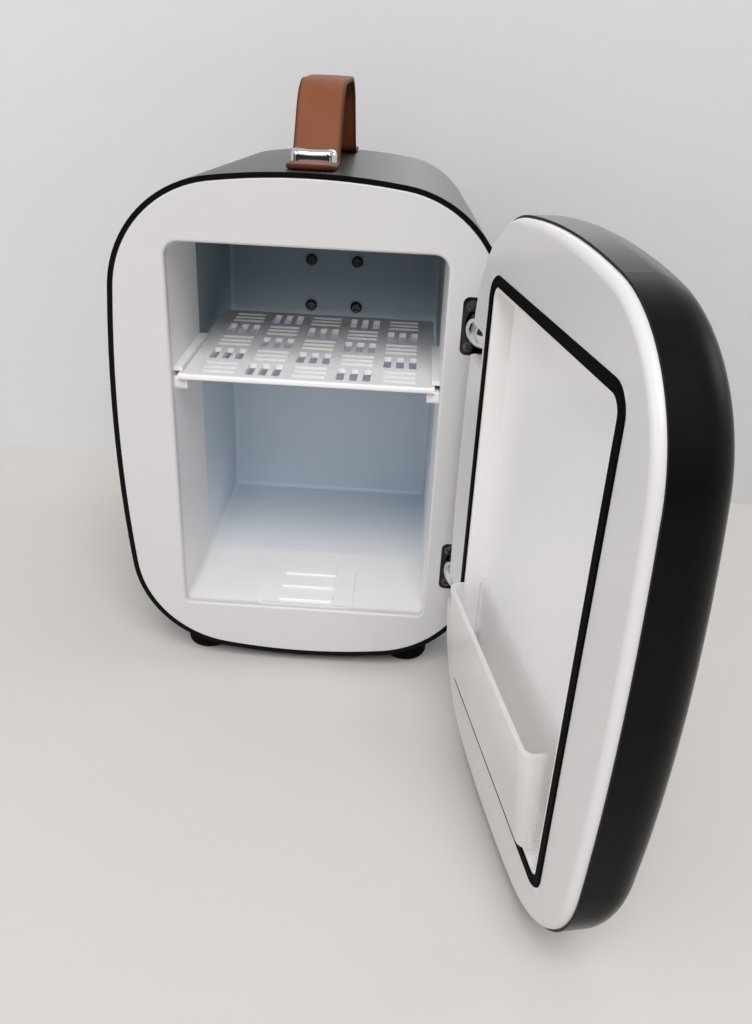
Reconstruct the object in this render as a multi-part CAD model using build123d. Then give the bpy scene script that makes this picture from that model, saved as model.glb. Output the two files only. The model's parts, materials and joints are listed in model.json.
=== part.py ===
from build123d import *
import math
import os

# Personal mini fridge: a bowed, tapered cabinet on feet, with a white front frame, a metal
# cavity, a thermoelectric cooler behind it, a leather carrying strap and a hinged domed door.
# Millimetres. X to the right, the front faces -Y, Z up from the floor that the feet stand on.

# Cabinet body
body_width = 190.0
body_height = 255.0
body_depth = 195.0
crown_radius = 314.0  # bow of the top and the bottom
flank_radius = 816.0  # bow of the two sides
corner_radius = 56.0
rear_shrink = 9.5  # the body draws in by this much on each side from front to back
rear_round = 16.0
shell_wall = 2.2
rear_wall = 4.0

# Clearances
fit = 0.15  # moulded pieces that drop into each other
slip = 0.4  # pieces that slide by hand
foam_gap = 0.4  # foam to what it lies against
running_fit = 0.05  # pin in its bore, on the radius
pan_head_round = 0.6  # share of a pan screw's head that is rounded
cross_reach = 0.62  # arms of a screw's cross recess, as shares of the head's radius
cross_width = 0.2
cross_depth = 0.6  # share of the head's height
screw_turn = 37.0  # each screw of a set is turned past the one before

# Feet
foot_height = 6.0
foot_radius = 12.0
foot_front_setback = 20.0
foot_rear_setback = 38.0
foot_spread = 113.0
foot_edge = 2.5

# Front frame: the white face and the collar that leads into the cavity
face_thickness = 3.0
face_edge_round = 0.8
opening_width = 129.0
opening_height = 192.5
opening_corner = 7.0
opening_floor_corner = 3.0  # the two lower corners are tighter
opening_drop = 0.75  # the opening's centre lies this far under the face's centre
opening_edge_round = 1.4
collar_depth = 70.0
collar_wall = 2.0
pad_width = 52.0  # raised pad on the collar's floor
pad_depth = 42.0
pad_height = 0.6
pad_corner = 5.0
pad_edge_round = 0.5
pad_rib_width = 30.0
pad_rib_depth = 7.0
pad_rib_corner = 2.0
pad_rib_pitch = 13.5
pad_rib_height = 1.0
pad_rib_count = 3

# Cavity liner
liner_wall = 1.0
liner_lap = 8.0  # length that lies in the collar's rebate
liner_round = 2.5

# Shelf and its rails
shelf_height = 29.5  # the front lip's lower edge above the face's centre
shelf_lip_height = 3.0
shelf_lip_thickness = 3.0
shelf_thickness = 2.5
shelf_width = 124.0
shelf_depth = 116.0
shelf_setback = 2.5
shelf_corner = 3.0
shelf_edge_round = 1.2
slot_cells = 5
slot_cell_pitch = 22.2
slot_length = 17.0
slot_width = 3.9
slot_corner = 0.8
slot_pitch = 6.5
slot_front_margin = 4.8  # shelf's front edge to the first slots
rail_reach = 6.0
rail_height = 7.0
rail_round = 2.5
rail_gap = 0.6  # rail ends to the shelf lip behind which they start
guard_rail_reach = 4.0
guard_rail_height = 2.2

# Hinges
hinge_axis_inset = 4.5  # pin axis in from the body's widest side
hinge_forward = 16.0  # pin axis in front of the face
hinge_spacing = 128.8
hinge_plate_width = 13.0
hinge_plate_height = 27.0
hinge_plate_thickness = 1.2
hinge_plate_corner = 3.0
hinge_plate_offset = 12.0  # plate's centre from the pin axis
hinge_screw_offset = 2.5  # screws to the cavity side of the plate's centre
hinge_screw_pitch = 19.0
hinge_screw_radius = 1.5
hinge_screw_head = 2.6
hinge_screw_length = 8.0
hinge_boss_radius = 3.6
arm_root_inset = 1.5
arm_root_width = 8.0
arm_height = 13.0
arm_waist = 8.4  # width of the arm where it bends
knuckle_radius = 4.5
knuckle_height = 10.0
knuckle_round = 2.0
pin_radius = 2.0
notch_play = 1.0  # door notch beyond the hinge arm, each way
pin_grip = 5.0  # length of the pin in each of the door's bosses
pin_boss_height = 6.5
pin_boss_reach = 6.0

# Door
open_angle = 102.0  # the door stands open by this much
door_gap = 1.0  # closed door's inner face in front of the white face
door_lip_depth = 4.5  # where the white lip meets the black shell
door_lip_round = 3.2
door_overhang = 1.0  # black shell beyond the white lip, all round
door_depth = 32.0
door_bow = 2000.0  # radius of the gently domed front
door_round = 14.0
door_flange_depth = 4.0
door_flange_wall = 2.0
recess_inset = 2.0  # recess inside the outline of the cavity's opening
recess_corner = 4.0
recess_depth = 8.7
recess_wall = 2.0
gasket_width = 4.8
gasket_land = 1.5  # wall between the recess and the gasket's groove
gasket_stand = 0.7
gasket_groove_depth = 2.0
gasket_edge_round = 0.6
magnet_length = 40.0
magnet_width = 6.0
magnet_thickness = 3.0
magnet_setback = 32.0  # magnets' middles inside the ends of the cavity's opening
keeper_thickness = 1.2

# Door pocket
pocket_floor_gap = 8.0  # pocket's floor above the recess's lower edge
pocket_height = 46.0
pocket_side_gap = 5.0  # pocket's ends to the recess
pocket_wall = 1.8
pocket_reach = 8.5  # front wall behind the plane of the white face, door closed
pocket_draft = 4.0  # front wall draws in by this much at the bottom
pocket_corner = 5.0
pocket_ear_gap = 1.0  # ears to the recess
ear_rib_thickness = 2.0
ear_rib_reach = 3.2
ear_rib_length = 16.0
ear_stop_height = 3.0

# Cooler behind the cavity
cooler_height = 44.2  # above the face's centre
cold_block_size = 40.0
cold_block_thickness = 10.0
cold_screw_pitch = 28.0
cold_screw_radius = 1.75
cold_screw_head = 3.5
cold_screw_head_height = 2.2
cold_screw_length = 8.0
peltier_size = 40.0
peltier_thickness = 3.8
sink_width = 84.0
sink_height = 88.0
sink_base = 4.0
fin_height = 11.0
fin_thickness = 1.4
fin_count = 13
fan_size = 80.0
fan_depth = 15.0
fan_bore = 76.0
fan_corner = 4.0
fan_gap = 0.2  # fan frame to the rear cover
fan_tip_gap = 1.2
fan_hub_radius = 14.0
fan_base_thickness = 2.5
fan_strut_width = 4.0
fan_blade_count = 7
fan_blade_thickness = 1.3
fan_blade_angle = 38.0
fan_blade_root = 2.8  # depth of the blades' roots in the hub
fan_running_gap = 0.6
fan_shaft_radius = 1.5
fan_screw_pitch = 71.5
fan_screw_radius = 1.6
fan_screw_head = 3.0
fan_screw_head_height = 1.6
fan_screw_grip = 2.0  # length in the heat sink's base

# Rear cover, its grille, inlets and switch
cover_margin = 3.0  # cover's edge inside the rear rounding
cover_lap = 6.0
cover_thickness = 2.0
cover_screw_radius = 1.4
cover_screw_head = 2.6
cover_screw_head_height = 1.4
cover_screw_drop = 20.0  # screws under and over the cover's corners
grille_radius = 37.0
grille_slot = 3.6
grille_pitch = 7.2
vent_slot_length = 30.0
vent_slot_count = 4
vent_spread = 64.0
vent_drop = 18.0  # vents under the face's centre
socket_row_drop = 66.0  # inlets and switch under the face's centre
inlet_width = 26.0
inlet_height = 16.0
inlet_flange = 1.8
inlet_body_width = 22.0
inlet_body_height = 12.0
inlet_body_depth = 15.0
inlet_mouth_width = 16.0
inlet_mouth_height = 8.5
inlet_mouth_depth = 12.0
inlet_pin_radius = 1.2
inlet_pin_pitch = 8.5
inlet_pin_length = 9.0
inlet_pin_round = 0.6
inlet_x = -32.0
jack_flange_radius = 7.0
jack_body_radius = 5.0
jack_body_depth = 13.0
jack_bore_radius = 3.2
jack_bore_depth = 10.0
jack_pin_radius = 1.0
jack_x = 2.0
switch_x = 34.0
switch_width = 15.0
switch_height = 21.0
switch_flange = 1.8
switch_body_width = 12.6
switch_body_height = 18.6
switch_body_depth = 13.0
switch_wall = 1.4
rocker_play = 0.5
rocker_dip = 1.4
rocker_stand = 2.0
rocker_body_depth = 4.0
rocker_draft = 1.7  # narrowing of the rocker's inner end, each way
rocker_pivot_depth = 2.0
rocker_axle_radius = 1.0
rocker_axle_length = 1.0
board_width = 112.0
board_height = 60.0
board_thickness = 1.6
board_gap = 3.0  # board behind the foam
board_drop = 42.0
board_post_radius = 3.0
board_post_inset = 5.0
transformer_width = 30.0
transformer_height = 24.0
transformer_depth = 10.0
transformer_core = 8.0
capacitor_radius = 4.0
capacitor_length = 10.0
capacitor_count = 3
capacitor_pitch = 10.0
capacitor_round = 0.8

# Carrying strap
strap_width = 22.4
strap_thickness = 2.6
strap_start = 11.0
strap_leg = 38.0  # where the strap leaves the top
strap_lean = 22.0
strap_rise = 34.0
strap_end_corner = 6.0
strap_foot_bend = 8.0
strap_arch_bend = 26.0
clip_setback = 29.0
clip_length = 21.0
clip_width = 8.5
clip_height = 6.0
clip_round = 2.8
clip_dip = 0.7  # hollow along the middle of the clip's top
clip_screw_pitch = 12.0
clip_screw_radius = 1.25
clip_screw_head = 2.6
clip_screw_head_height = 1.6
clip_screw_grip = 3.5  # length inside the clip

# Places that follow from the sizes
front = -body_depth / 2
back = body_depth / 2
mid = foot_height + body_height / 2
opening_z = mid - opening_drop
body_top = foot_height + body_height
axis_x = body_width / 2 - hinge_axis_inset
axis_y = front - hinge_forward
plate_x = axis_x - hinge_plate_offset
hinge_levels = [mid + hinge_spacing / 2, mid - hinge_spacing / 2]
notch_half = arm_height / 2 + notch_play
cooler_z = mid + cooler_height
fan_back = back - cover_thickness - fan_gap
fan_front = fan_back - fan_depth
sink_front = fan_front - fin_height - sink_base
cold_back = sink_front - peltier_thickness
cold_front = cold_back - cold_block_thickness
cavity_back = cold_front - liner_wall
recess_width = opening_width - 2 * recess_inset
recess_height = opening_height - 2 * recess_inset
pocket_width = recess_width - 2 * pocket_side_gap
pocket_floor = opening_z - recess_height / 2 + pocket_floor_gap
magnet_reach = opening_height / 2 - magnet_setback
magnet_levels = [opening_z + magnet_reach, opening_z - magnet_reach]
cover_inset = rear_shrink + rear_round + cover_margin
rim_inset = shell_wall - door_overhang + fit
rim_inner = rim_inset + door_flange_wall
taper = math.degrees(math.atan(rear_shrink / body_depth))
shelf_bottom = mid + shelf_height
shelf_top = shelf_bottom + shelf_lip_height
plate_under = shelf_top - shelf_thickness
socket_z = mid - socket_row_drop


def barrel(inset=0.0):
    """Bowed rectangle with round corners, drawn in by inset all round."""
    top = Vector(0, body_height / 2 - crown_radius)
    side = Vector(body_width / 2 - flank_radius, 0)
    from_top = crown_radius - corner_radius
    from_side = flank_radius - corner_radius
    span = (side - top).length
    along = (from_top**2 - from_side**2 + span**2) / (2 * span)
    across = math.sqrt(from_top**2 - along**2)
    step = (side - top).normalized()
    corner = top + step * along + Vector(step.Y, -step.X) * across
    to_top = (corner - top).normalized()
    to_side = (corner - side).normalized()
    start = side + to_side * (flank_radius - inset)
    bend = corner + (to_top + to_side).normalized() * (corner_radius - inset)
    end = top + to_top * (crown_radius - inset)
    half_width = body_width / 2 - inset
    half_height = body_height / 2 - inset

    def turned(point, sx, sz):
        return (point.X * sx, point.Y * sz)

    edges = [
        ThreePointArc(turned(start, 1, -1), (half_width, 0), turned(start, 1, 1)),
        ThreePointArc(turned(start, 1, 1), turned(bend, 1, 1), turned(end, 1, 1)),
        ThreePointArc(turned(end, 1, 1), (0, half_height), turned(end, -1, 1)),
        ThreePointArc(turned(end, -1, 1), turned(bend, -1, 1), turned(start, -1, 1)),
        ThreePointArc(turned(start, -1, 1), (-half_width, 0), turned(start, -1, -1)),
        ThreePointArc(turned(start, -1, -1), turned(bend, -1, -1), turned(end, -1, -1)),
        ThreePointArc(turned(end, -1, -1), (0, -half_height), turned(end, 1, -1)),
        ThreePointArc(turned(end, 1, -1), turned(bend, 1, -1), turned(start, 1, -1)),
    ]
    return make_face(edges)


def facing(y, x=0.0, z=mid):
    """Plane that looks out of the front: its own X and Y are the part's X and Z."""
    return Plane(origin=(x, y, z), x_dir=(1, 0, 0), z_dir=(0, -1, 0))


def slab(sketch, y_low, y_high, x=0.0, z=mid):
    """A sketch of the front view, made solid from y_low to y_high."""
    return extrude(facing(y_high, x, z) * sketch, amount=y_high - y_low, dir=(0, -1, 0))


def bar(x_low, x_high, y_low, y_high, z_low, z_high):
    """Rectangular bar between two corners."""
    block = Box(x_high - x_low, y_high - y_low, z_high - z_low)
    return Pos((x_low + x_high) / 2, (y_low + y_high) / 2, (z_low + z_high) / 2) * block


def ahead(distance):
    """Y of a plane that lies this far in front of the white face."""
    return front - distance


def inset_at(y):
    """How far the body has drawn in at a depth."""
    return rear_shrink * (y - front) / body_depth


def body_block(inset, y_low, y_high, rounding=0.0):
    """Tapered solid of the cabinet, drawn in by inset, with a rounded rear edge."""
    outline = barrel(inset + inset_at(y_low))
    block = extrude(facing(y_low) * outline, amount=y_high - y_low, dir=(0, 1, 0), taper=taper)
    if rounding > 0:
        block = fillet(block.faces().sort_by(Axis.Y)[-1].edges(), rounding)
    return block


def opening_rect(grow=0.0):
    """The cavity's outline, larger by grow on every side, with tighter corners at its floor."""
    outline = Rectangle(opening_width + 2 * grow, opening_height + 2 * grow)
    outline = fillet(outline.vertices().group_by(Axis.Y)[-1], opening_corner + grow)
    return fillet(outline.vertices().group_by(Axis.Y)[0], opening_floor_corner + grow)


def cross_recess(head_radius, head_height):
    """Cross that a screwdriver fits, sunk under its own XY plane."""
    arm = Box(2 * head_radius * cross_reach, 2 * head_radius * cross_width, 2 * head_height * cross_depth)
    return arm + Rot(0, 0, 90) * arm


def pan_screw(head_radius, head_height, shank_radius, shank_length):
    """Screw along its own Z: the head stands on the origin and the shank goes down."""
    head = Pos(0, 0, head_height / 2) * Cylinder(head_radius, head_height)
    head = fillet(head.edges().group_by(Axis.Z)[-1], head_height * pan_head_round)
    head -= Pos(0, 0, head_height) * cross_recess(head_radius, head_height)
    shank = Pos(0, 0, -shank_length / 2) * Cylinder(shank_radius, shank_length)
    return head + shank


def turned_screws(seats, screw):
    """A set of like screws on their seats, each at its own turn."""
    return [seat * Rot(0, 0, k * screw_turn) * screw for k, seat in enumerate(seats)]


def square_places(pitch):
    """Centres of four holes on a square."""
    half = pitch / 2
    return [(-half, -half), (half, -half), (half, half), (-half, half)]


def deck(y):
    """Plane on the top of the cabinet's shell, along its slope."""
    slope = math.radians(taper)
    height = body_top - inset_at(y)
    return Plane(origin=(0, y, height), x_dir=(1, 0, 0), z_dir=(0, math.sin(slope), math.cos(slope)))


# Cabinet


def cabinet_form():
    """Outer form of the cabinet, solid."""
    return body_block(0, front, back, rear_round)


def clip_places():
    """Depths of the two strap clips."""
    strap_middle = strap_leg + strap_lean + strap_flat() / 2
    return [front + clip_setback, front + 2 * strap_middle - clip_setback]


def strap_flat():
    """Length of the strap's level top."""
    return body_depth - 2 * (strap_leg + strap_lean) - strap_start


def outer_shell(form):
    """Black sleeve with a stepped window in its rear wall."""
    hollow = body_block(shell_wall, front, back - rear_wall, rear_round - shell_wall)
    window = slab(barrel(cover_inset + cover_lap), back - 2 * rear_wall, back)
    rebate = slab(barrel(cover_inset), back - cover_thickness, back)
    shell = form - hollow - window - rebate
    for place in cover_screw_places():
        hole = Rot(90, 0, 0) * Cylinder(cover_screw_radius, 4 * rear_wall)
        shell -= Pos(place[0], back, place[1]) * hole
    for y in clip_places():
        for x in (-clip_screw_pitch / 2, clip_screw_pitch / 2):
            shell -= deck(y) * Pos(x, 0, 0) * Cylinder(clip_screw_radius + running_fit, 4 * shell_wall)
    return shell


def rail_start():
    """Depth where the shelf rails start."""
    return front + shelf_setback + shelf_lip_thickness + rail_gap


def shelf_rails():
    """Rails on the collar's sides: one under the shelf's edges, a thinner one above."""
    y_end = front + collar_depth - liner_lap
    wall = opening_width / 2
    rails = []
    for side in (-1, 1):
        low = bar(wall - rail_reach, wall + fit, rail_start(), y_end, plate_under - rail_height, plate_under)
        low = fillet(low.edges().filter_by(Axis.X).group_by(Axis.Y)[0], rail_round)
        guard_low = shelf_top + slip
        guard = bar(
            wall - guard_rail_reach, wall + fit, rail_start(), y_end, guard_low, guard_low + guard_rail_height
        )
        for rail in (low, guard):
            rails.append(rail if side > 0 else mirror(rail, Plane.YZ))
    return rails


def floor_pad(width, depth, corner, y, height):
    """Flat raised field on the collar's floor, with softened edges."""
    block = extrude(RectangleRounded(width, depth, corner), amount=height + fit)
    block = fillet(block.edges().group_by(Axis.Z)[-1], pad_edge_round)
    return Pos(0, y, opening_z - opening_height / 2 - fit) * block


def front_frame():
    """White face with the collar, shelf rails, floor pad and hinge seats."""
    y_face = front + face_thickness
    y_collar = front + collar_depth
    plate = slab(barrel(shell_wall + fit), front, y_face)
    plate = fillet(plate.faces().sort_by(Axis.Y)[0].edges(), face_edge_round)
    frame = plate + slab(opening_rect(collar_wall), front, y_collar, z=opening_z)
    frame -= slab(opening_rect(), front, y_collar, z=opening_z)
    inner_edges = frame.faces().sort_by(Axis.Y)[0].inner_wires()[0].edges()
    frame = fillet(inner_edges, opening_edge_round)
    frame -= slab(opening_rect(liner_wall + fit), y_collar - liner_lap, y_collar, z=opening_z)
    for rail in shelf_rails():
        frame += rail
    pad_middle = front + 2 * opening_edge_round + pad_depth / 2
    frame += floor_pad(pad_width, pad_depth, pad_corner, pad_middle, pad_height)
    for k in range(pad_rib_count):
        y = pad_middle + (k - (pad_rib_count - 1) / 2) * pad_rib_pitch
        frame += floor_pad(pad_rib_width, pad_rib_depth, pad_rib_corner, y, pad_height + pad_rib_height)
    seat = RectangleRounded(
        hinge_plate_width + 2 * fit, hinge_plate_height + 2 * fit, hinge_plate_corner + fit
    )
    for z in hinge_levels:
        for x, screw_z in hinge_screw_places(z):
            boss_end = front + hinge_screw_length + face_thickness
            frame += slab(Circle(hinge_boss_radius), y_face - fit, boss_end, x, screw_z)
        frame -= slab(seat, front, front + hinge_plate_thickness, plate_x, z)
        for x, screw_z in hinge_screw_places(z):
            frame -= slab(Circle(hinge_screw_radius), front, front + hinge_screw_length + fit, x, screw_z)
    return frame


def inner_liner():
    """Metal can of the cavity, flush with the collar's inside."""
    mouth = front + collar_depth - liner_lap
    inside = slab(opening_rect(), mouth, cavity_back, z=opening_z)
    inside = fillet(inside.faces().sort_by(Axis.Y)[-1].edges(), liner_round)
    outside = slab(opening_rect(liner_wall), mouth, cold_front, z=opening_z)
    outside = fillet(outside.faces().sort_by(Axis.Y)[-1].edges(), liner_round + liner_wall)
    liner = outside - inside
    for x, z in square_places(cold_screw_pitch):
        liner -= slab(Circle(cold_screw_radius + fit), cavity_back - fit, cold_front + fit, x, cooler_z + z)
    return liner


def cabinet_insulation():
    """Foam between the shell and the cavity."""
    y_front = front + face_thickness + foam_gap
    foam = body_block(shell_wall + foam_gap, y_front, cold_back)
    foam -= slab(opening_rect(collar_wall + foam_gap), y_front, front + collar_depth + foam_gap, z=opening_z)
    foam -= slab(opening_rect(liner_wall + foam_gap), y_front, cold_front + foam_gap, z=opening_z)
    block_room = Rectangle(cold_block_size + 2 * foam_gap, cold_block_size + 2 * foam_gap)
    foam -= slab(block_room, cold_front, cold_back, z=cooler_z)
    for z in hinge_levels:
        for x, screw_z in hinge_screw_places(z):
            room = front + hinge_screw_length + face_thickness + foam_gap
            foam -= slab(Circle(hinge_boss_radius + foam_gap), y_front, room, x, screw_z)
    for z in magnet_levels:
        foam -= keeper_block(z, foam_gap)
    for y in clip_places():
        for x in (-clip_screw_pitch / 2, clip_screw_pitch / 2):
            head_room = Cylinder(clip_screw_head + foam_gap, 4 * clip_screw_head_height + 2 * shell_wall)
            foam -= deck(y) * Pos(x, 0, 0) * head_room
    return foam


def keeper_block(z, grow=0.0):
    """Steel plate behind the face on the free side, which the door's magnet meets."""
    y_face = front + face_thickness
    right = -(opening_width / 2 + collar_wall + slip)
    left = right - magnet_width - 2 * collar_wall
    half = magnet_length / 2
    y_back = y_face + keeper_thickness + grow
    return bar(left - grow, right + grow, y_face, y_back, z - half - grow, z + half + grow)


def foot(x, y, form):
    """Rubber foot, shaped on top to the shell that it carries."""
    post = Pos(x, y, mid / 2) * Cylinder(foot_radius, mid)
    return fillet(post.edges().group_by(Axis.Z)[0], foot_edge) - form


def cover_screw_places():
    """Centres of the rear cover's screws, in X and Z."""
    x = body_width / 2 - cover_inset - cover_lap / 2
    z = body_height / 2 - cover_inset - corner_radius + cover_screw_drop
    return [(sx * x, mid + sz * z) for sx in (-1, 1) for sz in (-1, 1)]


def rear_cover():
    """Flat cover with a round fan grille, vents and the cut-outs of the inlets and the switch."""
    y_inner = back - cover_thickness
    cover = slab(barrel(cover_inset + fit), y_inner, back)
    rows = int(grille_radius // grille_pitch)
    for k in range(-rows, rows + 1):
        level = k * grille_pitch
        length = 2 * math.sqrt(grille_radius**2 - level**2)
        cover -= slab(SlotOverall(length, grille_slot), y_inner, back, z=cooler_z + level)
    for side in (-1, 1):
        for k in range(vent_slot_count):
            level = mid - vent_drop - k * grille_pitch
            vent = SlotOverall(vent_slot_length, grille_slot)
            cover -= slab(vent, y_inner, back, side * vent_spread / 2, level)
    inlet_cut = Rectangle(inlet_body_width + 2 * fit, inlet_body_height + 2 * fit)
    cover -= slab(inlet_cut, y_inner, back, inlet_x, socket_z)
    cover -= slab(Circle(jack_body_radius + fit), y_inner, back, jack_x, socket_z)
    switch_cut = Rectangle(switch_body_width + 2 * fit, switch_body_height + 2 * fit)
    cover -= slab(switch_cut, y_inner, back, switch_x, socket_z)
    for x, z in cover_screw_places():
        cover -= slab(Circle(cover_screw_radius), y_inner, back, x, z)
    for x, z in board_post_places():
        cover += slab(Circle(board_post_radius), board_face(), y_inner + fit, x, z)
    return cover


def cover_screws():
    """Four screws that hold the rear cover on the shell's ledge."""
    screw = pan_screw(cover_screw_head, cover_screw_head_height, cover_screw_radius, rear_wall)
    return turned_screws([Pos(x, back, z) * Rot(-90, 0, 0) for x, z in cover_screw_places()], screw)


# Cooler


def cold_block():
    """Metal block that draws heat out of the liner's back wall."""
    block = slab(Rectangle(cold_block_size, cold_block_size), cold_front, cold_back, z=cooler_z)
    for x, z in square_places(cold_screw_pitch):
        block -= slab(Circle(cold_screw_radius), cold_front, cold_front + cold_screw_length, x, cooler_z + z)
    return block


def cold_screws():
    """Four screws through the liner into the cold block, heads in the cavity."""
    screw = pan_screw(cold_screw_head, cold_screw_head_height, cold_screw_radius, cold_screw_length)
    seats = [facing(cavity_back, x, cooler_z + z).location for x, z in square_places(cold_screw_pitch)]
    return turned_screws(seats, screw)


def peltier_module():
    """Thermoelectric module between the cold block and the heat sink."""
    return slab(Rectangle(peltier_size, peltier_size), cold_back, sink_front, z=cooler_z)


def heat_sink():
    """Finned heat sink that the fan blows through."""
    y_base = sink_front + sink_base
    sink = slab(Rectangle(sink_width, sink_height), sink_front, y_base, z=cooler_z)
    pitch = (sink_width - fin_thickness) / (fin_count - 1)
    for k in range(fin_count):
        x = -sink_width / 2 + fin_thickness / 2 + k * pitch
        sink += slab(Rectangle(fin_thickness, sink_height), y_base - fit, fan_front, x, cooler_z)
    for x, z in square_places(fan_screw_pitch):
        sink -= slab(Circle(fan_screw_radius), y_base - fan_screw_grip, fan_front, x, cooler_z + z)
    return sink


def fan_frame():
    """Square fan frame with a motor base carried on four struts."""
    frame = slab(RectangleRounded(fan_size, fan_size, fan_corner), fan_front, fan_back, z=cooler_z)
    frame -= slab(Circle(fan_bore / 2), fan_front, fan_back, z=cooler_z)
    y_base = fan_back - fan_base_thickness
    spokes = Circle(fan_hub_radius)
    for turn in (45, 135):
        spokes += Rot(0, 0, turn) * Rectangle(fan_bore + fan_corner, fan_strut_width)
    frame += slab(spokes, y_base, fan_back, z=cooler_z)
    frame -= slab(Circle(fan_shaft_radius + running_fit), y_base, fan_back, z=cooler_z)
    for x, z in square_places(fan_screw_pitch):
        frame -= slab(Circle(fan_screw_radius), fan_front, fan_back, x, cooler_z + z)
        sunk = fan_back - fan_screw_head_height
        frame -= slab(Circle(fan_screw_head + fit), sunk, fan_back, x, cooler_z + z)
    return frame


def fan_rotor():
    """Fan wheel: hub, shaft and twisted blades."""
    hub_front = fan_front + fan_running_gap
    hub_back = fan_back - fan_base_thickness - fan_running_gap
    depth = hub_back - hub_front
    tip_radius = fan_bore / 2 - fan_tip_gap
    rotor = Pos(0, 0, depth / 2) * Cylinder(fan_hub_radius, depth)
    root_radius = fan_hub_radius - fan_blade_root
    chord = (depth - 2 * fan_running_gap) / math.cos(math.radians(fan_blade_angle))
    blade = Box(2 * tip_radius, fan_blade_thickness, chord)
    blade = Pos(tip_radius, 0, depth / 2) * Rot(fan_blade_angle, 0, 0) * blade
    ring = Pos(0, 0, depth / 2) * (Cylinder(tip_radius, depth) - Cylinder(root_radius, depth))
    for k in range(fan_blade_count):
        rotor += (Rot(0, 0, k * 360 / fan_blade_count) * blade) & ring
    shaft_length = fan_base_thickness + fan_running_gap
    rotor += Pos(0, 0, -shaft_length / 2) * Cylinder(fan_shaft_radius, shaft_length)
    return facing(hub_back, 0, cooler_z) * rotor


def fan_screws():
    """Four screws that hold the fan on the heat sink's base."""
    length = fan_back - fan_screw_head_height - sink_front - sink_base + fan_screw_grip
    screw = pan_screw(fan_screw_head, fan_screw_head_height, fan_screw_radius - running_fit, length)
    return [
        Pos(x, fan_back - fan_screw_head_height, cooler_z + z) * Rot(-90, 0, 0) * screw
        for x, z in square_places(fan_screw_pitch)
    ]


# Power board, inlets and switch


def board_post_places():
    """Centres of the posts that carry the power board, in X and Z."""
    x = board_width / 2 - board_post_inset
    z = board_height / 2 - board_post_inset
    return [(sx * x, mid - board_drop + sz * z) for sx in (-1, 1) for sz in (-1, 1)]


def board_face():
    """Depth of the power board's rear face."""
    return cold_back + board_gap + board_thickness


def power_board():
    """Circuit board."""
    board = Rectangle(board_width, board_height)
    return slab(board, cold_back + board_gap, board_face(), z=mid - board_drop)


def transformer():
    """Transformer on the board: a winding with its core round it."""
    y_low = board_face()
    z = mid - board_drop + board_height / 4
    winding = Rectangle(transformer_width, transformer_height - transformer_core)
    core = Rectangle(transformer_width - transformer_core, transformer_height)
    return slab(winding + core, y_low, y_low + transformer_depth, z=z)


def capacitors():
    """Row of upright capacitors on the board."""
    y_low = board_face()
    z = mid - board_drop + board_height / 4
    cans = []
    for k in range(capacitor_count):
        x = -transformer_width - k * capacitor_pitch + board_post_inset
        can = slab(Circle(capacitor_radius), y_low, y_low + capacitor_length, x, z)
        cans.append(fillet(can.faces().sort_by(Axis.Y)[-1].edges(), capacitor_round))
    return cans


def mains_inlet():
    """Two-pin mains inlet: flange outside, body through the cover."""
    mouth_back = back + inlet_flange
    flange = RectangleRounded(inlet_width, inlet_height, inlet_flange)
    flange = slab(flange, back, mouth_back, inlet_x, socket_z)
    body = Rectangle(inlet_body_width, inlet_body_height)
    body = slab(body, back - inlet_body_depth, back + fit, inlet_x, socket_z)
    mouth = SlotOverall(inlet_mouth_width, inlet_mouth_height)
    inlet = flange + body - slab(mouth, mouth_back - inlet_mouth_depth, mouth_back, inlet_x, socket_z)
    for x in (-inlet_pin_pitch / 2, inlet_pin_pitch / 2):
        floor = mouth_back - inlet_mouth_depth
        inlet -= slab(Circle(inlet_pin_radius), back - inlet_body_depth, floor, inlet_x + x, socket_z)
    return inlet


def mains_pins():
    """The mains inlet's two round pins."""
    tip = back + inlet_flange - inlet_mouth_depth + inlet_pin_length
    pins = []
    for x in (-inlet_pin_pitch / 2, inlet_pin_pitch / 2):
        pin = slab(Circle(inlet_pin_radius), back - inlet_body_depth, tip, inlet_x + x, socket_z)
        pins.append(fillet(pin.faces().sort_by(Axis.Y)[-1].edges(), inlet_pin_round))
    return pins


def low_voltage_jack():
    """Round low-voltage inlet."""
    mouth_back = back + inlet_flange
    flange = slab(Circle(jack_flange_radius), back, mouth_back, jack_x, socket_z)
    body = slab(Circle(jack_body_radius), back - jack_body_depth, back + fit, jack_x, socket_z)
    jack = flange + body
    jack -= slab(Circle(jack_bore_radius), mouth_back - jack_bore_depth, mouth_back, jack_x, socket_z)
    jack -= slab(Circle(jack_pin_radius), back - jack_body_depth, mouth_back, jack_x, socket_z)
    return jack


def jack_pin():
    """Centre pin of the low-voltage inlet."""
    tip = back + inlet_flange - jack_pin_radius
    return slab(Circle(jack_pin_radius), back - jack_body_depth, tip, jack_x, socket_z)


def rocker_pivot():
    """Depth of the rocker's pivot."""
    return back + switch_flange - rocker_pivot_depth


def switch_housing():
    """Rocker switch body with its flange."""
    y_out = back + switch_flange
    flange = RectangleRounded(switch_width, switch_height, switch_flange)
    flange = slab(flange, back, y_out, switch_x, socket_z)
    body = Rectangle(switch_body_width, switch_body_height)
    body = slab(body, back - switch_body_depth, back + fit, switch_x, socket_z)
    mouth = Rectangle(switch_body_width - 2 * switch_wall, switch_body_height - 2 * switch_wall)
    mouth_floor = rocker_pivot() - rocker_body_depth - 2 * rocker_play
    housing = flange + body - slab(mouth, mouth_floor, y_out, switch_x, socket_z)
    axle = Cylinder(rocker_axle_radius + running_fit, switch_body_width)
    return housing - Pos(switch_x, rocker_pivot(), socket_z) * Rot(0, 90, 0) * axle


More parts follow.
